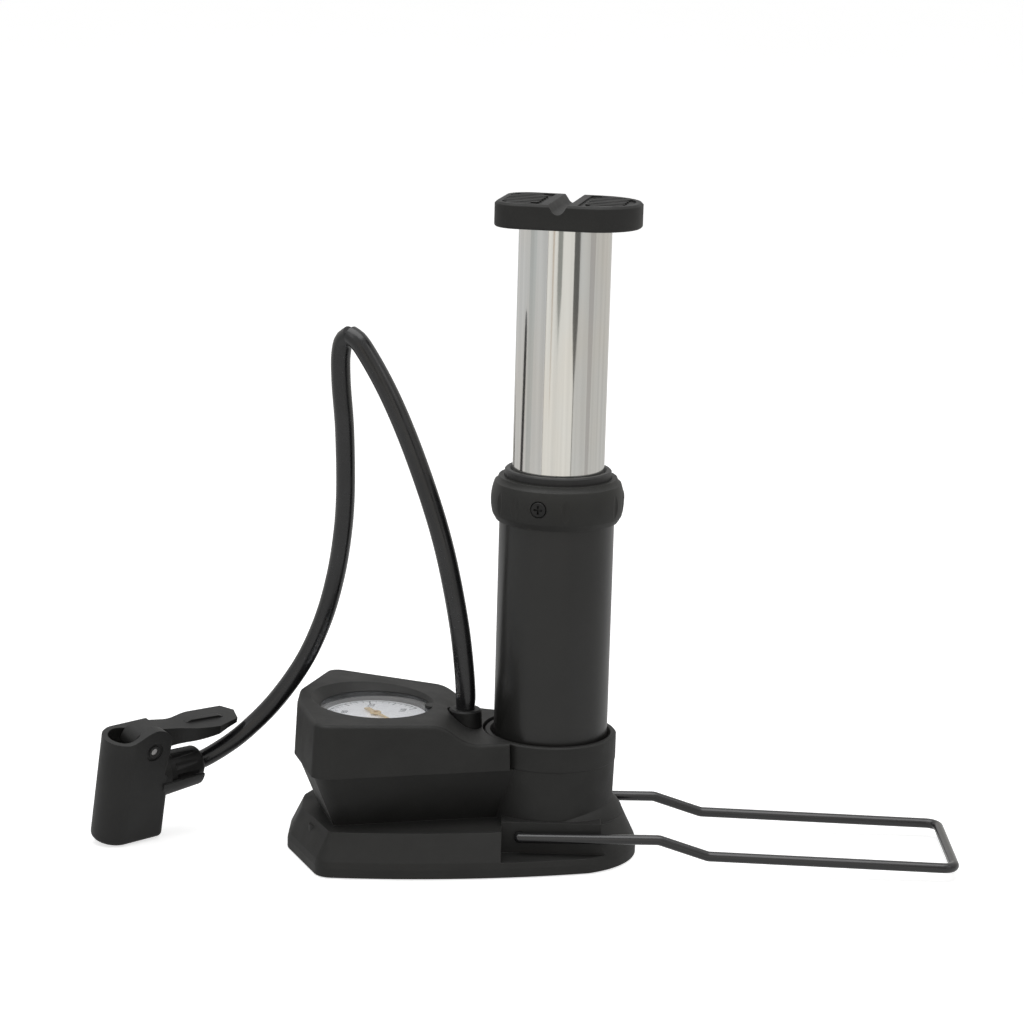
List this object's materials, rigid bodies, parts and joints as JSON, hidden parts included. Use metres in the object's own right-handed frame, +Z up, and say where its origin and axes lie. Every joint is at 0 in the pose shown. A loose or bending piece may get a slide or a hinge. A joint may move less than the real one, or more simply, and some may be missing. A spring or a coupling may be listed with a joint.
{
  "type": "foot-operated floor pump",
  "caption": "Compact foot-pedal air pump: telescoping barrel on a moulded base with pressure gauge, folding wire foot bail, and a hose with a lever-lock valve chuck.",
  "frame": {"origin": "on the floor, on the barrel's axis, at the underside of the rubber sole", "axes": "+Z up along the barrel, +X towards the wire bail, -X towards the gauge and chuck, base symmetric about the XZ plane"},
  "size_m": [0.3202, 0.0844, 0.2426],
  "materials": {
    "base_plastic": "fine moulded grain, black",
    "plate_steel": "black coated sheet steel",
    "sole_rubber": "matte black rubber",
    "screws": "dark plated steel",
    "barrel_metal": "satin black anodised aluminium",
    "bush_plastic": "slippery dark acetal",
    "valve_plastic": "glass-filled nylon",
    "ball": "polished bearing ball",
    "springs": "oiled spring wire",
    "seals": "greased nitrile rubber",
    "cylinder": "drawn and honed",
    "brass": "machined brass",
    "gauge_case": "black pressed steel",
    "dial": "silver-white printed face",
    "needle": "cream paint",
    "lens": "clear moulded lens",
    "chrome": "polished chrome plate",
    "piston": "natural acetal",
    "pedal": "grained black nylon",
    "bail_wire": "gloss black coated steel wire",
    "chuck_plastic": "smooth black nylon",
    "pin_steel": "turned steel",
    "hose_rubber": "smooth shiny black rubber"
  },
  "bodies": {
    "base": {"base_housing": "base_plastic", "bottom_plate": "plate_steel", "rubber_sole": "sole_rubber", "plate_screws": "screws", "cover_screws": "screws", "gauge_cover": "base_plastic", "barrel_tube": "barrel_metal", "guide_collar": "base_plastic", "guide_bush": "bush_plastic", "collar_screws": "screws", "valve_block": "valve_plastic", "valve_plug": "valve_plastic", "check_spring": "springs", "cylinder_gasket": "seals", "pump_cylinder": "cylinder", "air_manifold": "valve_plastic", "gauge_stem": "brass", "hose_barb": "brass", "gauge_case": "gauge_case", "gauge_socket": "brass", "bourdon_tube": "brass", "gauge_dial": "dial", "gauge_lens": "lens", "return_spring": "springs", "hose_boot": "sole_rubber", "hose_root": "hose_rubber"},
    "carriage": {"lower_guide_ring": "bush_plastic"},
    "plunger": {"plunger_tube": "chrome", "top_plug": "bush_plastic", "piston_rod": "cylinder", "piston_head": "piston", "piston_seal": "seals", "piston_nut": "brass", "foot_pedal": "pedal", "pedal_insert": "brass"},
    "bail": {"foot_bail": "bail_wire"},
    "needle": {"gauge_needle": "needle", "gauge_arbor": "brass"},
    "valve_ball": {"check_ball": "ball"},
    "hose": {"hose_loop": "hose_rubber"},
    "chuck": {"hose_end": "hose_rubber", "chuck_body": "chuck_plastic", "lever_pin": "pin_steel", "valve_gland": "seals", "gland_cap": "chuck_plastic", "hose_nut": "chuck_plastic", "chuck_barb": "brass"},
    "lever": {"chuck_lever": "chuck_plastic"},
    "clamp": {"gland_plunger": "piston"}
  },
  "joints": [
    {"name": "plunger_slide", "type": "slide", "parent": "base", "child": "carriage", "axis": [0, 0, -1], "range_m": [0, 0.084], "stiffness_N_per_m": 150, "springref_m": -0.04, "deforming": ["return_spring"]},
    {"name": "plunger_swivel", "type": "hinge", "parent": "carriage", "child": "plunger", "pos_m": [0, 0, 0.23], "axis": [0, 0, 1], "continuous": true},
    {"name": "bail_fold", "type": "hinge", "parent": "base", "child": "bail", "pos_m": [-0.0105, 0, 0.0124], "axis": [0, -1, 0], "range_deg": [0, 80]},
    {"name": "gauge_needle_turn", "type": "hinge", "parent": "base", "child": "needle", "pos_m": [-0.0648, 0, 0.0505], "axis": [0, 0, -1], "range_deg": [0, 270]},
    {"name": "check_valve_lift", "type": "slide", "parent": "base", "child": "valve_ball", "axis": [0, 0, -1], "range_m": [0, 0.0012], "deforming": ["check_spring"]},
    {"name": "hose_swing", "type": "hinge", "parent": "base", "child": "hose", "pos_m": [-0.0316, 0, 0.0533], "axis": [0, 0, 1], "range_deg": [-25, 25]},
    {"name": "chuck_swing", "type": "hinge", "parent": "hose", "child": "chuck", "pos_m": [-0.13069, 0.01459, 0.02624], "axis": [0, 0, 1], "range_deg": [-20, 20]},
    {"name": "lever_throw", "type": "hinge", "parent": "chuck", "child": "lever", "pos_m": [-0.15041, -0.00712, 0.03872], "axis": [0.6575, -0.7217, -0.2164], "range_deg": [0, 80]},
    {"name": "gland_press", "type": "slide", "parent": "chuck", "child": "clamp", "axis": [-0.1258, 0.1779, -0.976], "range_m": [0, 0.0021]}
  ],
  "couplings": [
    {"joint": "gland_press", "follows": "lever_throw", "m_per_rad": 0.0014324}
  ]
}
